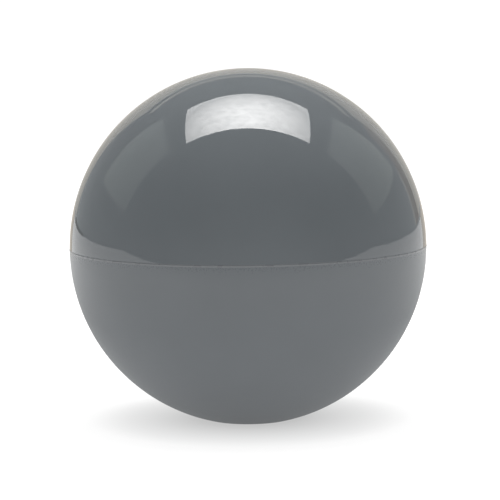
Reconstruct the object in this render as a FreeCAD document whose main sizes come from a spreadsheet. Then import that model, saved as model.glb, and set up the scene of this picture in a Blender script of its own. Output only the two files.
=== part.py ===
import FreeCAD, Part
import Sketcher
import os

# A ball knob for an arcade joystick lever: a glossy ball moulded over a plastic core, which is itself
# moulded round a brass thread insert.
#
# Millimetres, +Z up. The origin is the centre of the small flat foot under the ball, and the thread's
# axis is the vertical axis.

DOCUMENT_NAME = "ball_knob"
OUTPUT_FOLDER = "parts"
THREAD_SIZE = "M6x1.0"

# alias, value in millimetres (or a plain count), what it is
SIZES = [
    ("ball_diameter", "35", "outside of the ball"),
    ("foot_diameter", "8.4", "flat that the ball stands on"),
    ("skin_thickness", "4", "second moulding shot, over the core"),
    ("parting_width", "0.25", "raised line where the two mould halves met"),
    ("parting_height", "0.02", "how far that line stands out of the ball"),
    ("mouth_chamfer", "0.2", "edge of the hole in the foot"),
    ("boss_diameter", "13", "collar of the core round the insert"),
    ("boss_level", "2.6", "lower end of that collar above the foot"),
    ("channel_rings", "3", "great circles cut into the core as flow channels"),
    ("channel_width", "2.4", "across each channel"),
    ("channel_depth", "1.2", "into the core"),
    ("insert_diameter", "9", "knurled body of the insert"),
    ("insert_length", "12.5", "insert from nose to closed end"),
    ("insert_shoulder", "3.4", "lower end of the knurled body above the foot"),
    ("insert_chamfer", "0.4", "edges of the knurled body"),
    ("nose_diameter", "7", "plain nose that seals against the mould"),
    ("nose_recess", "0.3", "nose set back from the foot"),
    ("knurl_count", "24", "straight knurls round the insert"),
    ("knurl_depth", "0.4", "depth of each knurl"),
    ("knurl_width", "0.7", "width of each knurl at the surface"),
    ("retaining_width", "1.6", "groove that the core fills to hold the insert"),
    ("retaining_depth", "0.8", "depth of that groove"),
    ("bore_depth", "10", "drilled depth from the nose, to the start of the drill's point"),
    ("drill_point_angle", "118", "degrees, full angle of the drill's point"),
    ("thread_depth", "8.5", "tapped depth from the nose"),
    ("tap_mark_diameter", "6", "circle that places the tapped hole"),
    ("countersink_diameter", "6.4", "mouth of the thread"),
    ("countersink_angle", "90", "degrees, full angle of that mouth"),
]

# radii and levels that more than one outline uses, as expressions on the sheet
AXIS = "0"
FOOT_LEVEL = "0"
BALL_RADIUS = "(sizes.ball_diameter / 2)"
FOOT_RADIUS = "(sizes.foot_diameter / 2)"
CENTRE_LEVEL = "(sqrt(sizes.ball_diameter ^ 2 - sizes.foot_diameter ^ 2) / 2)"
CORE_RADIUS = "(sizes.ball_diameter / 2 - sizes.skin_thickness)"
BOSS_RADIUS = "(sizes.boss_diameter / 2)"
NOSE_RADIUS = "(sizes.nose_diameter / 2)"
INSERT_RADIUS = "(sizes.insert_diameter / 2)"
INSERT_TOP = "(sizes.nose_recess + sizes.insert_length)"
RETAINING_MIDDLE = f"((sizes.insert_shoulder + {INSERT_TOP}) / 2)"

# numbers that Sketcher gives to the points of a line or an arc, and to a sketch's own axes
START_POINT, END_POINT, CENTRE_POINT = 1, 2, 3
HORIZONTAL_AXIS, VERTICAL_AXIS = -1, -2
SKETCH_ORIGIN = (-1, 1)
NEARLY_ZERO = 1e-9


def size_sheet(doc):
    """The spreadsheet that every dimension is bound to."""
    sheet = doc.addObject("Spreadsheet::Sheet", "sizes")
    for row, (alias, value, meaning) in enumerate(SIZES, start=1):
        sheet.set(f"A{row}", value)
        sheet.setAlias(f"A{row}", alias)
        sheet.set(f"B{row}", meaning)
    doc.recompute()


def new_body(doc, name):
    """A body whose label is its name, standing in the frame that every sub-part shares."""
    body = doc.addObject("PartDesign::Body", name)
    body.Label = name
    body.Placement = FreeCAD.Placement()
    return body


def origin_feature(body, role):
    """One of the body's own origin planes or axes."""
    for feature in body.Origin.OriginFeatures:
        if feature.Role == role:
            return feature
    raise ValueError(f"{body.Label} has no {role}")


def new_sketch(body, name, plane_role):
    """An empty sketch on one of the body's origin planes."""
    sketch = body.newObject("Sketcher::SketchObject", name)
    sketch.AttachmentSupport = [(origin_feature(body, plane_role), "")]
    sketch.MapMode = "FlatFace"
    return sketch


def evaluate(sketch, expression):
    """The present value of an expression, used to draw geometry close to where it is held."""
    return float(sketch.evalExpression(expression))


def hold(sketch, direction, geometry, point, expression):
    """Hold one coordinate of a point at an expression measured from the sketch's origin."""
    value = evaluate(sketch, expression)
    if abs(value) < NEARLY_ZERO:
        axis = VERTICAL_AXIS if direction == "DistanceX" else HORIZONTAL_AXIS
        sketch.addConstraint(Sketcher.Constraint("PointOnObject", geometry, point, axis))
        return
    constraint = Sketcher.Constraint(direction, *SKETCH_ORIGIN, geometry, point, value)
    index = sketch.addConstraint(constraint)
    sketch.setExpression(f"Constraints[{index}]", expression)


def hold_corner(sketch, geometry, point, across, up):
    """Hold both coordinates of a corner, or only the first where an arc already settles its height."""
    hold(sketch, "DistanceX", geometry, point, across)
    if up is not None:
        hold(sketch, "DistanceY", geometry, point, up)


def close_outline(sketch, sides):
    """Join each side's end to the next side's start. Each side is (geometry, start point, end point)."""
    for before, after in zip(sides, sides[1:] + sides[:1]):
        sketch.addConstraint(Sketcher.Constraint("Coincident", before[0], before[2], after[0], after[1]))


def polygon(sketch, corners):
    """A closed outline of straight sides through corners given as (across, up) expressions."""
    points = [FreeCAD.Vector(evaluate(sketch, x), evaluate(sketch, y), 0) for x, y in corners]
    sides = []
    for start, end in zip(points, points[1:] + points[:1]):
        side = sketch.addGeometry(Part.LineSegment(start, end))
        sides.append((side, START_POINT, END_POINT))
    close_outline(sketch, sides)
    for (side, start_point, _end_point), (across, up) in zip(sides, corners):
        hold_corner(sketch, side, start_point, across, up)


def domed_outline(sketch, radius, corners):
    """Half of a round body: an arc from its pole down to the first corner, then straight sides.

    The arc is centred on the vertical axis at the ball's centre. The corners are (across, up) expressions,
    and the last of them is on the axis.
    """
    centre = FreeCAD.Vector(0, evaluate(sketch, CENTRE_LEVEL), 0)
    pole = centre + FreeCAD.Vector(0, evaluate(sketch, radius), 0)
    points = [FreeCAD.Vector(evaluate(sketch, x), evaluate(sketch, y), 0) for x, y in corners]
    circle = Part.Circle(centre, FreeCAD.Vector(0, 0, 1), evaluate(sketch, radius))
    # an arc runs anticlockwise, so this one starts at the first corner and ends at the pole
    arc = sketch.addGeometry(Part.ArcOfCircle(circle, circle.parameter(points[0]), circle.parameter(pole)))
    sides = [(arc, END_POINT, START_POINT)]
    for start, end in zip(points, points[1:] + [pole]):
        side = sketch.addGeometry(Part.LineSegment(start, end))
        sides.append((side, START_POINT, END_POINT))
    close_outline(sketch, sides)
    hold_corner(sketch, arc, CENTRE_POINT, AXIS, CENTRE_LEVEL)
    hold_corner(sketch, arc, END_POINT, AXIS, None)
    for (side, start_point, _end_point), (across, up) in zip(sides[1:], corners):
        hold_corner(sketch, side, start_point, across, up)


def circle_on_axis(sketch, radius, level):
    """A circle centred on the sketch's vertical axis."""
    centre = FreeCAD.Vector(0, evaluate(sketch, level), 0)
    circle = Part.Circle(centre, FreeCAD.Vector(0, 0, 1), evaluate(sketch, radius))
    index = sketch.addGeometry(circle)
    hold_corner(sketch, index, CENTRE_POINT, AXIS, level)
    size = sketch.addConstraint(Sketcher.Constraint("Radius", index, circle.Radius))
    sketch.setExpression(f"Constraints[{size}]", radius)


def revolve(body, sketch, name, kind="PartDesign::Revolution"):
    """Turn a profile once round the vertical axis, to add it to the body or, as a groove, to cut it away."""
    feature = body.newObject(kind, name)
    feature.Profile = sketch
    feature.ReferenceAxis = (origin_feature(body, "Z_Axis"), [""])
    feature.Angle = 360
    return feature


def pattern_round_axis(body, original, name, count, spacing):
    """Repeat a feature round the vertical axis, at a spacing given in degrees."""
    pattern = body.newObject("PartDesign::PolarPattern", name)
    pattern.Originals = [original]
    pattern.Axis = (origin_feature(body, "Z_Axis"), [""])
    pattern.Mode = "Spacing"
    pattern.setExpression("Occurrences", count)
    pattern.setExpression("Offset", spacing)
    body.Tip = pattern
    return pattern


def insert_blank(doc):
    """The insert before it is drilled: nose, knurled body and retaining groove."""
    body = new_body(doc, "insert_blank")
    profile = new_sketch(body, "insert_profile", "XZ_Plane")
    inner_edge = f"{INSERT_RADIUS} - sizes.insert_chamfer"
    groove_floor = f"{INSERT_RADIUS} - sizes.retaining_depth"
    groove_bottom = f"{RETAINING_MIDDLE} - sizes.retaining_width / 2"
    groove_top = f"{RETAINING_MIDDLE} + sizes.retaining_width / 2"
    polygon(profile, [
        (AXIS, "sizes.nose_recess"),
        (NOSE_RADIUS, "sizes.nose_recess"),
        (NOSE_RADIUS, "sizes.insert_shoulder"),
        (inner_edge, "sizes.insert_shoulder"),
        (INSERT_RADIUS, "sizes.insert_shoulder + sizes.insert_chamfer"),
        (INSERT_RADIUS, groove_bottom),
        (groove_floor, groove_bottom),
        (groove_floor, groove_top),
        (INSERT_RADIUS, groove_top),
        (INSERT_RADIUS, f"{INSERT_TOP} - sizes.insert_chamfer"),
        (inner_edge, INSERT_TOP),
        (AXIS, INSERT_TOP),
    ])
    revolve(body, profile, "turned_insert")

    notch = new_sketch(body, "knurl_profile", "XY_Plane")
    outside = f"{INSERT_RADIUS} + sizes.knurl_depth"
    polygon(notch, [
        (f"{INSERT_RADIUS} - sizes.knurl_depth", AXIS),
        (outside, "-sizes.knurl_width"),
        (outside, "sizes.knurl_width"),
    ])
    knurl = body.newObject("PartDesign::Pocket", "knurl")
    knurl.Profile = notch
    knurl.Type = "ThroughAll"
    knurl.Reversed = True
    pattern_round_axis(body, knurl, "knurls", "sizes.knurl_count", "360 / sizes.knurl_count")
    return body


def threaded_insert(doc, blank):
    """The brass insert: its blank, drilled blind from the nose, countersunk and tapped."""
    body = new_body(doc, "threaded_insert")
    body.BaseFeature = blank
    mark = new_sketch(body, "thread_axis", "XY_Plane")
    mark.setExpression("AttachmentOffset.Base.z", "sizes.nose_recess")
    circle_on_axis(mark, "sizes.tap_mark_diameter / 2", AXIS)
    doc.recompute()

    hole = body.newObject("PartDesign::Hole", "tapped_hole")
    hole.Profile = mark
    hole.Reversed = True
    hole.ThreadType = "ISOMetricProfile"
    hole.ThreadSize = THREAD_SIZE
    # the wall is left at the tapping size, where the crests of the thread would be
    hole.Threaded = True
    hole.ModelThread = False
    hole.DrillPoint = "Angled"
    hole.setExpression("DrillPointAngle", "sizes.drill_point_angle")
    hole.DepthType = "Dimension"
    hole.setExpression("Depth", "sizes.bore_depth")
    hole.ThreadDepthType = "Dimension"
    hole.setExpression("ThreadDepth", "sizes.thread_depth")
    hole.HoleCutType = "Countersink"
    hole.HoleCutCustomValues = True
    hole.setExpression("HoleCutDiameter", "sizes.countersink_diameter")
    hole.setExpression("HoleCutCountersinkAngle", "sizes.countersink_angle")
    return body


def core_blank(doc):
    """The core before it is moulded round the insert: a ball with flow channels and a collar below."""
    body = new_body(doc, "core_blank")
    profile = new_sketch(body, "core_profile", "XZ_Plane")
    domed_outline(profile, CORE_RADIUS, [(AXIS, f"{CENTRE_LEVEL} - {CORE_RADIUS}")])
    revolve(body, profile, "core_ball")

    ring = new_sketch(body, "channel_profile", "XZ_Plane")
    circle_on_axis(ring, f"{CORE_RADIUS} - sizes.channel_depth", CENTRE_LEVEL)
    circle_on_axis(ring, f"{CORE_RADIUS} + sizes.channel_depth", CENTRE_LEVEL)
    channel = body.newObject("PartDesign::Pocket", "channel")
    channel.Profile = ring
    channel.SideType = "Symmetric"
    channel.setExpression("Length", "sizes.channel_width")
    pattern_round_axis(body, channel, "channels", "sizes.channel_rings", "180 / sizes.channel_rings")

    collar = new_sketch(body, "boss_profile", "XY_Plane")
    collar.setExpression("AttachmentOffset.Base.z", "sizes.boss_level")
    circle_on_axis(collar, BOSS_RADIUS, AXIS)
    boss = body.newObject("PartDesign::Pad", "boss")
    boss.Profile = collar
    boss.setExpression("Length", f"{CENTRE_LEVEL} - sizes.boss_level")
    return body


def ball_blank(doc):
    """The ball as a solid, with its foot, the hole for the insert's nose and the parting line."""
    body = new_body(doc, "ball_blank")
    profile = new_sketch(body, "ball_profile", "XZ_Plane")
    domed_outline(profile, BALL_RADIUS, [(FOOT_RADIUS, FOOT_LEVEL), (AXIS, FOOT_LEVEL)])
    revolve(body, profile, "ball")

    mouth = new_sketch(body, "mouth_profile", "XZ_Plane")
    polygon(mouth, [
        (AXIS, FOOT_LEVEL),
        (f"{NOSE_RADIUS} + sizes.mouth_chamfer", FOOT_LEVEL),
        (NOSE_RADIUS, "sizes.mouth_chamfer"),
        (NOSE_RADIUS, "sizes.boss_level"),
        (AXIS, "sizes.boss_level"),
    ])
    revolve(body, mouth, "nose_hole", "PartDesign::Groove")

    line = new_sketch(body, "parting_profile", "XZ_Plane")
    root = f"{BALL_RADIUS} - sizes.parting_height"
    crest = f"{BALL_RADIUS} + sizes.parting_height"
    polygon(line, [
        (root, f"{CENTRE_LEVEL} - sizes.parting_width * 3 / 4"),
        (crest, f"{CENTRE_LEVEL} - sizes.parting_width / 4"),
        (crest, f"{CENTRE_LEVEL} + sizes.parting_width / 4"),
        (root, f"{CENTRE_LEVEL} + sizes.parting_width * 3 / 4"),
    ])
    revolve(body, line, "parting_line")
    return body


def moulded_round(doc, name, blank, filled_by):
    """A sub-part that was moulded round another, so that it touches it everywhere."""
    cut = doc.addObject("Part::Cut", name)
    cut.Label = name
    cut.Base = blank
    cut.Tool = filled_by
    cut.Placement = FreeCAD.Placement()
    return cut


def check_cuts(doc):
    """Stop if a cut took nothing away, which would mean that it was made in the wrong direction."""
    for before, after in [
        ("turned_insert", "knurls"),
        ("core_ball", "channels"),
        ("insert_blank", "threaded_insert"),
        ("core_blank", "inner_core"),
        ("ball", "nose_hole"),
        ("ball_blank", "outer_ball"),
    ]:
        if doc.getObject(after).Shape.Volume >= doc.getObject(before).Shape.Volume:
            raise ValueError(f"{after} removed nothing from {before}")


def check_objects(doc):
    """Stop if any object is in error or any shape is missing or invalid."""
    for item in doc.Objects:
        if "Invalid" in item.State or "Error" in item.State:
            raise ValueError(f"{item.Label} is {item.State}")
        if item.isDerivedFrom("Part::Feature") and not item.isDerivedFrom("Sketcher::SketchObject"):
            if item.Shape.isNull() or not item.Shape.isValid():
                raise ValueError(f"{item.Label} has no valid shape")


def write_steps(sub_parts):
    """One STEP file for each sub-part, named after it."""
    os.makedirs(OUTPUT_FOLDER, exist_ok=True)
    for sub_part in sub_parts:
        sub_part.Shape.exportStep(f"{OUTPUT_FOLDER}/{sub_part.Label}.step")


def build():
    """Build the knob from the inside out, the way it is moulded."""
    doc = FreeCAD.newDocument(DOCUMENT_NAME)
    size_sheet(doc)
    turned_blank = insert_blank(doc)
    doc.recompute()
    insert = threaded_insert(doc, turned_blank)
    core_shape = core_blank(doc)
    core = moulded_round(doc, "inner_core", core_shape, turned_blank)
    ball_shape = ball_blank(doc)
    ball = moulded_round(doc, "outer_ball", ball_shape, core_shape)
    doc.recompute()
    check_objects(doc)
    check_cuts(doc)
    write_steps([ball, core, insert])


build()
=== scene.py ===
"""A glossy ball knob for a joystick lever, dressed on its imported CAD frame, in a small tabletop studio."""

import math

import bmesh
import bpy
from mathutils import Matrix, Vector


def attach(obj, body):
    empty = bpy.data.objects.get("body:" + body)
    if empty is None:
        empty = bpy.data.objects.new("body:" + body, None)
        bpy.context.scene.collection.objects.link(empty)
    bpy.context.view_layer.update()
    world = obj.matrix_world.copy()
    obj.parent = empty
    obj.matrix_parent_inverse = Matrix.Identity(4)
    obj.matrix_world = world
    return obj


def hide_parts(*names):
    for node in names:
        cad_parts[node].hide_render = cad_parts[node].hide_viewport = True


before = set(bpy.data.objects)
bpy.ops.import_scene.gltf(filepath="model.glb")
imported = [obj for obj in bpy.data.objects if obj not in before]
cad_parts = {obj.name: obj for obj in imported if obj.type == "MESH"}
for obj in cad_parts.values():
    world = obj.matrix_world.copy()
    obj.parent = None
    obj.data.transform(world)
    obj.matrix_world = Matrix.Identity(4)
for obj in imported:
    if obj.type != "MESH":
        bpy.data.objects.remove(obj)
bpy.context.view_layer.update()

MM = 0.001

# the ball: its outside, the height of its middle above its flat foot, and the edges underneath
BALL_RADIUS = 17.5 * MM
FOOT_RADIUS = 4.2 * MM
CENTRE = math.sqrt(BALL_RADIUS**2 - FOOT_RADIUS**2)
FOOT_EDGE = 0.15 * MM
MOUTH_CHAMFER = 0.2 * MM
BALL_SEGMENTS = 256

# the fine raised line where the mould halves met, with its crest a little above its middle
LINE_WIDTH = 0.25 * MM
LINE_HEIGHT = 0.02 * MM
LINE_CREST = LINE_WIDTH * 0.08

# the core that the skin is moulded over
CORE_RADIUS = 13.5 * MM
BOSS_RADIUS = 6.5 * MM
BOSS_LEVEL = 2.6 * MM

# the threaded insert: half a notch is a share of the knurls' spacing, and half the flat at the bottom of the
# thread and its flank are shares of the pitch
NOSE_RADIUS = 3.5 * MM
NOSE_LEVEL = 0.3 * MM
SHOULDER_LEVEL = 3.4 * MM
INSERT_RADIUS = 4.5 * MM
INSERT_TOP = 12.8 * MM
INSERT_CHAMFER = 0.4 * MM
KNURLS = 24
KNURL_DEPTH = 0.4 * MM
KNURL_HALF_NOTCH = 0.3
KNURL_SEGMENTS = 10
GROOVE_WIDTH = 1.6 * MM
GROOVE_DEPTH = 0.8 * MM
THREAD_MINOR = 2.5 * MM
THREAD_MAJOR = 3.0 * MM
THREAD_PITCH = 1.0 * MM
THREAD_TOP = 8.8 * MM
THREAD_HALF_FLAT = 1 / 8
THREAD_FLANK = 5 / 16
COUNTERSINK_RADIUS = 3.2 * MM
BORE_TOP = 10.3 * MM
DRILL_POINT = 1.5 * MM


# ---------------------------------------------------------------- mesh helpers


def turned(name, path, segments, sharp=math.radians(30)):
    """A solid of revolution round the vertical axis, from a path that starts and ends on the axis.

    Each step of the path is (height, radius), where the radius is a number or a function of the angle.
    """
    mesh = bpy.data.meshes.new(name)
    bm = bmesh.new()
    rings = []
    for height, radius in path:
        if radius == 0:
            rings.append([bm.verts.new((0, 0, height))])
            continue
        ring = []
        for step in range(segments):
            angle = 2 * math.pi * step / segments
            r = radius(angle) if callable(radius) else radius
            ring.append(bm.verts.new((r * math.cos(angle), r * math.sin(angle), height)))
        rings.append(ring)
    for near, far in zip(rings, rings[1:]):
        for step in range(segments):
            following = (step + 1) % segments
            corners = [near[step % len(near)], near[following % len(near)]]
            corners += [far[following % len(far)], far[step % len(far)]]
            bm.faces.new(list(dict.fromkeys(corners)))
    bmesh.ops.recalc_face_normals(bm, faces=bm.faces)
    for face in bm.faces:
        face.smooth = True
    bm.to_mesh(mesh)
    bm.free()
    mesh.set_sharp_from_angle(angle=sharp)
    piece = bpy.data.objects.new(name, mesh)
    bpy.context.collection.objects.link(piece)
    return piece


def spread(first, last, steps):
    """Evenly spaced numbers from first to last, both included."""
    return [first + (last - first) * step / steps for step in range(steps + 1)]


# ---------------------------------------------------------------- the pieces


def parting_bump(height):
    """How far the parting line stands out of the ball at a height from its middle.

    It is steeper on its upper side.
    """
    edge = LINE_WIDTH / 2 if height > LINE_CREST else -LINE_WIDTH / 2
    across = (height - LINE_CREST) / (edge - LINE_CREST)
    if abs(across) >= 1:
        return 0
    return LINE_HEIGHT * 0.5 * (1 + math.cos(math.pi * across))


def ball_path():
    """The ball's section: outside from the top pole to the foot, up the hole, and back round the core."""
    line_angle = 1.5 * LINE_WIDTH / BALL_RADIUS
    foot_angle = math.asin(CENTRE / BALL_RADIUS)
    edge_angle = FOOT_EDGE / BALL_RADIUS
    # the steps are finest across the parting line
    latitudes = spread(math.pi / 2, line_angle, 90)
    latitudes += spread(line_angle, -line_angle, 48)[1:]
    latitudes += spread(-line_angle, -foot_angle + edge_angle, 76)[1:]
    path = []
    for latitude in latitudes:
        height = BALL_RADIUS * math.sin(latitude)
        radius = BALL_RADIUS * math.cos(latitude) + parting_bump(height)
        path.append((CENTRE + height, radius if latitude < math.pi / 2 else 0))
    # the edges underneath are softened by shares of this width
    soft = 0.05 * MM
    path += [
        (0.4 * soft, FOOT_RADIUS - 0.2 * soft),
        (0, FOOT_RADIUS - FOOT_EDGE),
        (0, NOSE_RADIUS + MOUTH_CHAMFER + soft),
        (0.6 * soft, NOSE_RADIUS + MOUTH_CHAMFER),
        (MOUTH_CHAMFER, NOSE_RADIUS + 0.4 * soft),
        (MOUTH_CHAMFER + soft, NOSE_RADIUS),
        (BOSS_LEVEL, NOSE_RADIUS),
        (BOSS_LEVEL, BOSS_RADIUS),
    ]
    boss_angle = math.acos(BOSS_RADIUS / CORE_RADIUS)
    for latitude in spread(-boss_angle, math.pi / 2, 48):
        radius = CORE_RADIUS * math.cos(latitude)
        path.append((CENTRE + CORE_RADIUS * math.sin(latitude), radius if latitude < math.pi / 2 else 0))
    return path


def make_ball():
    """The skin, polished above the parting line, satin below it and trimmed on the line itself, where it has
    a painted highlight.
    """
    ball = turned("ball_skin", ball_path(), BALL_SEGMENTS)
    polished, satin, trimmed = range(3)
    for material in (polished_plastic(), satin_plastic(), trimmed_highlit_plastic()):
        ball.data.materials.append(material)
    for face in ball.data.polygons:
        above = face.center.z - CENTRE
        if above > LINE_WIDTH / 2:
            face.material_index = polished
        elif above > -LINE_WIDTH / 2:
            face.material_index = trimmed
        else:
            face.material_index = satin
    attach(ball, "root")
    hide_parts("outer_ball")


def knurled(angle):
    """Radius of the insert's body, with straight V-shaped knurls round it."""
    turn = angle * KNURLS / (2 * math.pi) % 1
    notch = max(0, 1 - abs(turn - 0.5) / KNURL_HALF_NOTCH)
    return INSERT_RADIUS - KNURL_DEPTH * notch


def thread_radius(height):
    """Radius of the internal thread at a height, as a function of the angle."""

    def radius(angle):
        turn = (height / THREAD_PITCH - angle / (2 * math.pi)) % 1
        depth = 1 - min(1, max(0, (abs(turn - 0.5) - THREAD_HALF_FLAT) / THREAD_FLANK))
        fade = min(1, max(0, (THREAD_TOP - height) / THREAD_PITCH))
        return THREAD_MINOR + (THREAD_MAJOR - THREAD_MINOR) * depth * fade

    return radius


def insert_path():
    """The insert's section: over its closed end, down the knurls to the nose, and up the thread."""
    middle = (SHOULDER_LEVEL + INSERT_TOP) / 2
    groove = INSERT_RADIUS - GROOVE_DEPTH
    end = INSERT_RADIUS - INSERT_CHAMFER - 0.05 * MM
    nose_edge = 0.06 * MM
    path = [
        (INSERT_TOP, 0),
        (INSERT_TOP, end),
        (INSERT_TOP - INSERT_CHAMFER, knurled),
        (middle + GROOVE_WIDTH / 2, knurled),
        (middle + GROOVE_WIDTH / 2, groove),
        (middle - GROOVE_WIDTH / 2, groove),
        (middle - GROOVE_WIDTH / 2, knurled),
        (SHOULDER_LEVEL + INSERT_CHAMFER, knurled),
        (SHOULDER_LEVEL, end),
        (SHOULDER_LEVEL, NOSE_RADIUS),
        (NOSE_LEVEL + nose_edge, NOSE_RADIUS),
        (NOSE_LEVEL, NOSE_RADIUS - nose_edge),
        (NOSE_LEVEL, COUNTERSINK_RADIUS),
    ]
    mouth = NOSE_LEVEL + COUNTERSINK_RADIUS - THREAD_MAJOR
    steps_per_turn = 16
    steps = int(steps_per_turn * (THREAD_TOP - mouth) / THREAD_PITCH)
    path += [(height, thread_radius(height)) for height in spread(mouth, THREAD_TOP, steps)]
    path += [(BORE_TOP, THREAD_MINOR), (BORE_TOP + DRILL_POINT, 0)]
    return path


def make_insert():
    """The brass insert with its real helical thread."""
    insert = turned("thread_insert", insert_path(), KNURLS * KNURL_SEGMENTS)
    insert.data.materials.append(turned_brass())
    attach(insert, "root")
    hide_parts("threaded_insert")


# ---------------------------------------------------------------- materials


class Nodes:
    """A small helper for building the node tree of a material or of the world."""

    def __init__(self, owner):
        owner.use_nodes = True
        self.tree = owner.node_tree
        self.shader = self.tree.nodes.get("Principled BSDF")
        self.output = self.tree.nodes.get("Material Output") or self.tree.nodes["World Output"]

    def add(self, kind, inputs=None, **settings):
        """A new node with its settings and its inputs, which are values or output sockets to link."""
        node = self.tree.nodes.new(kind)
        for key, value in settings.items():
            setattr(node, key, value)
        for key, value in (inputs or {}).items():
            self.set(node, key, value)
        return node

    def set(self, node, key, value):
        """Set an input to a value, or link it to an output socket."""
        if isinstance(value, bpy.types.NodeSocket):
            self.tree.links.new(value, node.inputs[key])
        else:
            node.inputs[key].default_value = value

    def shade(self, inputs):
        """Set or link inputs of the material's own shader."""
        for key, value in inputs.items():
            self.set(self.shader, key, value)

    def surface(self, shader):
        """Make a shader the surface that the tree gives."""
        self.tree.links.new(shader, self.output.inputs["Surface"])

    def noise(self, scale, detail=2.0, roughness=0.5, vector=None, distortion=0.0):
        """Noise in object coordinates, as a value."""
        vector = vector or self.position()
        inputs = {"Vector": vector, "Scale": scale, "Detail": detail, "Roughness": roughness}
        return self.add("ShaderNodeTexNoise", inputs | {"Distortion": distortion}).outputs["Fac"]

    def position(self, stretch=(1, 1, 1)):
        """Object coordinates, stretched along each axis."""
        where = self.add("ShaderNodeTexCoord").outputs["Object"]
        if stretch == (1, 1, 1):
            return where
        return self.add("ShaderNodeMapping", {"Vector": where, "Scale": stretch}).outputs["Vector"]

    def axes(self, vector):
        """The three parts of a vector, by their letters."""
        return self.add("ShaderNodeSeparateXYZ", {"Vector": vector}).outputs

    def away_from(self, point):
        """How far the surface is from a point."""
        inputs = {0: self.position(), 1: point}
        return self.add("ShaderNodeVectorMath", inputs, operation="DISTANCE").outputs["Value"]

    def maths(self, operation, *values):
        """An arithmetic operation on values or sockets."""
        inputs = dict(enumerate(values))
        return self.add("ShaderNodeMath", inputs, operation=operation).outputs["Value"]

    def remap(self, value, low, high, to_low, to_high):
        """A value carried from one range to another, without going past its ends."""
        inputs = {"Value": value, "From Min": low, "From Max": high, "To Min": to_low, "To Max": to_high}
        return self.add("ShaderNodeMapRange", inputs).outputs["Result"]

    def colours(self, value, low, high):
        """A blend between two colours."""
        ramp = self.add("ShaderNodeValToRGB", {"Fac": value})
        ramp.color_ramp.elements[0].color = (*low, 1)
        ramp.color_ramp.elements[1].color = (*high, 1)
        return ramp.outputs["Color"]

    def bump(self, height, distance, normal=None):
        """Fine relief whose full height is a distance in metres, over another relief where one is given."""
        inputs = {"Height": height, "Distance": distance, "Strength": 1.0}
        if normal:
            inputs["Normal"] = normal
        return self.add("ShaderNodeBump", inputs).outputs["Normal"]


PLASTIC_DARK = (0.114, 0.124, 0.132)
PLASTIC_LIGHT = (0.128, 0.139, 0.149)
# the line's colours are paler than the plastic's as a painted highlight, mottled by scrape marks
SCRAPED_AND_HIGHLIT_DARK = (0.125, 0.131, 0.138)
SCRAPED_AND_HIGHLIT_LIGHT = (0.150, 0.156, 0.164)
PLASTIC_IOR = 1.5


def polished_plastic():
    """Hard plastic from a polished mould: a mirror with a trace of haze and swirls."""
    material = bpy.data.materials.new("polished_plastic")
    nodes = Nodes(material)
    cloud = nodes.noise(160, detail=3)
    swirls = nodes.noise(900, detail=4, vector=nodes.position((1, 1, 3)), distortion=1.5)
    wave = nodes.bump(nodes.noise(220), 0.000002)
    nodes.shade({
        "Base Color": nodes.colours(cloud, PLASTIC_DARK, PLASTIC_LIGHT),
        "Roughness": nodes.remap(swirls, 0.35, 0.7, 0.004, 0.02),
        "Normal": nodes.bump(swirls, 0.0000008, normal=wave),
        "IOR": PLASTIC_IOR,
    })
    return material


def satin_plastic():
    """The same plastic from the other mould half, left satin, and smoother close under the parting line."""
    material = bpy.data.materials.new("satin_plastic")
    nodes = Nodes(material)
    cloud = nodes.noise(160, detail=3)
    grain = nodes.noise(9000)
    satin = nodes.remap(grain, 0.3, 0.7, 0.485, 0.535)
    smoother_from = CENTRE - 6.5 * MM
    smoother = nodes.remap(nodes.axes(nodes.position())["Z"], smoother_from, CENTRE, 0, 0.24)
    nodes.shade({
        "Base Color": nodes.colours(cloud, PLASTIC_DARK, PLASTIC_LIGHT),
        "Roughness": nodes.maths("SUBTRACT", satin, smoother),
        "Normal": nodes.bump(grain, 0.0000005),
        "IOR": PLASTIC_IOR,
    })
    return material


def trimmed_highlit_plastic():
    """The same plastic along the parting line, where its flash was trimmed: scraped, and a little paler as a
    painted highlight for the light that the raised line catches.
    """
    material = bpy.data.materials.new("trimmed_highlit_plastic")
    nodes = Nodes(material)
    scrapes = nodes.noise(700, detail=3)
    nodes.shade({
        # painted highlight: the paler colour along the line
        "Base Color": nodes.colours(scrapes, SCRAPED_AND_HIGHLIT_DARK, SCRAPED_AND_HIGHLIT_LIGHT),
        "Roughness": nodes.remap(scrapes, 0.3, 0.7, 0.26, 0.3),
        "Normal": nodes.bump(scrapes, 0.0000006),
        "IOR": PLASTIC_IOR,
    })
    return material


def turned_brass():
    """Turned brass, with tool marks and a little tarnish."""
    material = bpy.data.materials.new("turned_brass")
    nodes = Nodes(material)
    tarnish = nodes.noise(700, detail=5)
    marks = nodes.noise(6000, vector=nodes.position((0.2, 0.2, 3)))
    nodes.shade({
        "Base Color": nodes.colours(tarnish, (0.52, 0.36, 0.13), (0.80, 0.60, 0.27)),
        "Roughness": nodes.remap(tarnish, 0.3, 0.7, 0.22, 0.4),
        "Normal": nodes.bump(marks, 0.000004),
        "Metallic": 1.0,
    })
    return material


def core_plastic():
    """Unpigmented moulding plastic with faint flow marks."""
    material = bpy.data.materials.new("core_plastic")
    nodes = Nodes(material)
    flow = nodes.noise(300, detail=4, vector=nodes.position((1, 1, 0.3)), distortion=2)
    nodes.shade({
        "Base Color": nodes.colours(flow, (0.58, 0.56, 0.49), (0.68, 0.66, 0.60)),
        "Roughness": nodes.remap(flow, 0.3, 0.7, 0.45, 0.6),
        "Normal": nodes.bump(nodes.noise(4000), 0.000003),
        "Subsurface Weight": 0.2,
        "Subsurface Radius": (0.002, 0.0015, 0.001),
    })
    return material


def dress_core():
    """The core keeps its CAD shape and gets its own plastic."""
    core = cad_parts["inner_core"]
    core.data.materials.clear()
    core.data.materials.append(core_plastic())


# ---------------------------------------------------------------- the studio, with its distances in metres

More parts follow.
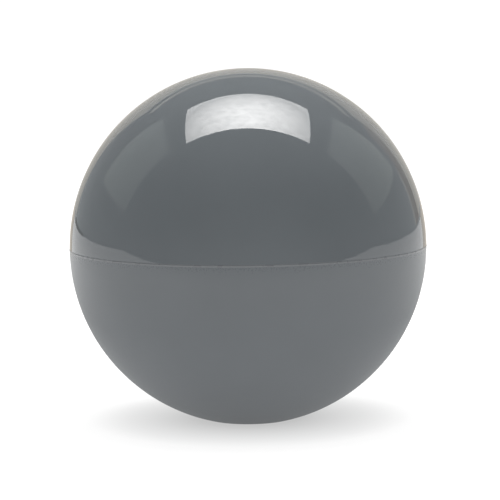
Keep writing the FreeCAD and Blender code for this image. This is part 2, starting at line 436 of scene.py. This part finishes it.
BALL_MIDDLE = Vector((0, 0, CENTRE))
WARM = (1.0, 0.95, 0.86)
WARMER = (1.0, 0.92, 0.81)
BROWN = (1.0, 0.88, 0.78)
GREENISH = (0.93, 1.0, 0.95)
LAMP_WHITE = (1.0, 0.995, 0.985)
ROOM_TINT = (0.93, 0.98, 1.0)


def card(name, near, far, colour, glow):
    """A glowing sheet between two edges of points, seen only in reflections and by its light.

    The glow is a strength, or a function that adds nodes and gives the socket of one.
    """
    count = len(near)
    faces = [(i, i + 1, count + i + 1, count + i) for i in range(count - 1)]
    mesh = bpy.data.meshes.new(name)
    mesh.from_pydata([tuple(point) for point in near + far], [], faces)
    obj = bpy.data.objects.new(name, mesh)
    bpy.context.collection.objects.link(obj)
    material = bpy.data.materials.new(name)
    nodes = Nodes(material)
    strength = glow(nodes) if callable(glow) else glow
    light = nodes.add("ShaderNodeEmission", {"Color": (*colour, 1), "Strength": strength})
    nodes.surface(light.outputs["Emission"])
    mesh.materials.append(material)
    obj.visible_camera = False


def level_arc(distance, elevation, left, right, steps=12):
    """Points on a level arc round the ball, at an elevation seen from its middle. Azimuth 0 is behind it."""
    points = []
    for azimuth in spread(math.radians(left), math.radians(right), steps):
        direction = Vector((math.sin(azimuth), math.cos(azimuth), math.tan(math.radians(elevation))))
        points.append(BALL_MIDDLE + direction * distance)
    return points


def lamp_glow(nodes):
    """Brightest over the lamp near the softbox's front, with the cloudy look of its fabric."""
    lamp = (0.004, -0.004, 0.19)
    fall = nodes.remap(nodes.away_from(lamp), 0.01, 0.115, 14.4, 4.6)
    cloud = nodes.remap(nodes.noise(90, detail=8, roughness=0.65), 0.36, 0.64, 0.87, 1.1)
    return nodes.maths("MULTIPLY", fall, cloud)


def make_softbox(half_width=0.1003, aside=0.0026, bow=0.009):
    """The key light: a big soft box over the ball, leaning back, with a bowed back edge."""
    front_depth, front_height = -0.0233, 0.17
    back_depth, back_height = 0.1, 0.22
    front, back = [], []
    for across in spread(-1, 1, 10):
        x = aside + across * half_width
        front.append(BALL_MIDDLE + Vector((x, front_depth, front_height)))
        back.append(BALL_MIDDLE + Vector((x, back_depth + bow * (1 - across**2), back_height)))
    card("softbox", front, back, LAMP_WHITE, lamp_glow)


def make_backdrop():
    """A lit backdrop rising from the table behind the ball, a bar over it, and a brown panel on its right."""
    # name, distance, left and right azimuth, low and high elevation, colour, glow
    sheets = [
        ("backdrop_sweep", 0.16, -29.6, 33, -6.0, 0.2, WARMER, 0.75),
        ("backdrop", 0.4, -29.6, 33, 0.0, 30, WARM, 0.7),
        ("backdrop_bar", 0.4, -33, 36, 33, 35.6, WARM, 0.75),
        ("backdrop_foot", 0.4, -50, -30, -0.7, 0.2, WARM, 0.15),
        ("side_panel", 0.4, 33, 42, 0, 27, BROWN, 0.36),
        ("panel_edge", 0.4, 42, 43.5, 0, 14, WARM, 0.75),
    ]
    for name, distance, left, right, low, high, colour, glow in sheets:
        near = level_arc(distance, low, left, right)
        far = level_arc(distance, high, left, right)
        card(name, near, far, colour, glow)


def make_wings(distance=0.25, glow=0.62):
    """Two dim upright cards on either side, a little behind the ball."""
    # name, side, and four corners by their depth and height, as shares of the distance
    wings = [
        ("wing_left", -1, (-0.05, 0.30), (0.69, 0.41), (-0.10, 1.29), (0.96, 1.46)),
        ("wing_right", 1, (-0.02, 0.24), (0.92, 0.43), (-0.12, 1.17), (0.90, 1.40)),
    ]
    for name, side, *corners in wings:
        points = [BALL_MIDDLE + Vector((side, depth, height)) * distance for depth, height in corners]
        card(name, points[:2], points[2:], GREENISH, glow)


def make_floor(front=0.105, side=1.5, back=0.9):
    """A plain white table whose glow paints its shade: a painted shadow, dim by the ball, and painted light,
    brighter away from it and most of all in front.

    It is clear from underneath.
    """
    mesh = bpy.data.meshes.new("table")
    corners = [(-side, -front, 0), (side, -front, 0), (side, back, 0), (-side, back, 0)]
    mesh.from_pydata(corners, [], [(0, 1, 2, 3)])
    table = bpy.data.objects.new("table", mesh)
    bpy.context.collection.objects.link(table)
    material = bpy.data.materials.new("table")
    nodes = Nodes(material)
    away = nodes.away_from((0, 0, 0))
    behind = nodes.maths("DIVIDE", nodes.axes(nodes.position())["Y"], away)
    # painted shadow: the glow is dim close round the ball, and only a little of the shade there is real, from
    # the softbox
    painted_shadow = nodes.remap(away, 0.005, 0.016, 0.53, 0.91)
    # painted light: extra glow away from the ball, strongest in front of it and weakest behind
    painted_light_in_front = nodes.remap(behind, -0.8, 0.75, 0.85, 0.15)
    far = nodes.remap(away, 0.026, 0.08, 0, 1)
    nodes.shade({
        "Base Color": (0.15, 0.15, 0.15, 1),
        "Roughness": 0.9,
        "Specular IOR Level": 0.0,
        "Emission Color": (1, 1, 1, 1),
        "Emission Strength": nodes.maths("MULTIPLY_ADD", painted_light_in_front, far, painted_shadow),
    })
    under = nodes.add("ShaderNodeNewGeometry").outputs["Backfacing"]
    clear = nodes.add("ShaderNodeBsdfTransparent").outputs["BSDF"]
    sides = nodes.add("ShaderNodeMixShader", {0: under, 1: nodes.shader.outputs["BSDF"], 2: clear})
    nodes.surface(sides.outputs["Shader"])
    mesh.materials.append(material)


def make_world():
    """White where the camera looks past the table, and in reflections a dim room.

    The room is lighter low down and in front.
    """
    world = bpy.data.worlds.new("studio")
    bpy.context.scene.world = world
    nodes = Nodes(world)
    axes = nodes.axes(nodes.add("ShaderNodeTexCoord").outputs["Generated"])
    low_down = nodes.remap(axes["Z"], 0.05, 0.55, 0.47, 0.15)
    in_front = nodes.remap(axes["Y"], -1.0, -0.5, 0.3, 0.0)
    strength = nodes.maths("ADD", low_down, in_front)
    room = nodes.add("ShaderNodeBackground", {"Color": (*ROOM_TINT, 1), "Strength": strength})
    white = nodes.add("ShaderNodeBackground", {"Color": (1, 1, 1, 1), "Strength": 1.1})
    seen = nodes.add("ShaderNodeLightPath").outputs["Is Camera Ray"]
    shaders = {1: room.outputs["Background"], 2: white.outputs["Background"]}
    mix = nodes.add("ShaderNodeMixShader", {0: seen} | shaders)
    nodes.surface(mix.outputs["Shader"])


def make_camera():
    """The camera, a little above the ball's middle and rolled by a hair."""
    elevation = math.radians(5.95)
    roll = math.radians(0.75)
    distance = 13 * BALL_RADIUS
    # the ball's share of the picture's width, and how far the aim is from the ball's middle, in half views
    ball_share = 0.7135
    aim_aside, aim_down = -0.0078, 0.0146
    half_view = math.atan(math.tan(math.asin(BALL_RADIUS / distance)) / ball_share)
    data = bpy.data.cameras.new("camera")
    data.lens = data.sensor_width / 2 / math.tan(half_view)
    camera = bpy.data.objects.new("camera", data)
    bpy.context.collection.objects.link(camera)
    back = Vector((0, -math.cos(elevation), math.sin(elevation)))
    turn = (-back).to_track_quat("-Z", "Y").to_matrix().to_4x4()
    aside, down = aim_aside * math.tan(half_view), aim_down * math.tan(half_view)
    aim = Matrix.Rotation(-roll, 4, "Z") @ Matrix.Rotation(-down, 4, "X") @ Matrix.Rotation(aside, 4, "Y")
    camera.matrix_world = Matrix.Translation(BALL_MIDDLE + back * distance) @ turn @ aim
    bpy.context.scene.camera = camera


make_ball()
make_insert()
dress_core()
make_softbox()
make_backdrop()
make_wings()
make_floor()
make_world()
make_camera()
bpy.context.scene.view_settings.view_transform = "Standard"
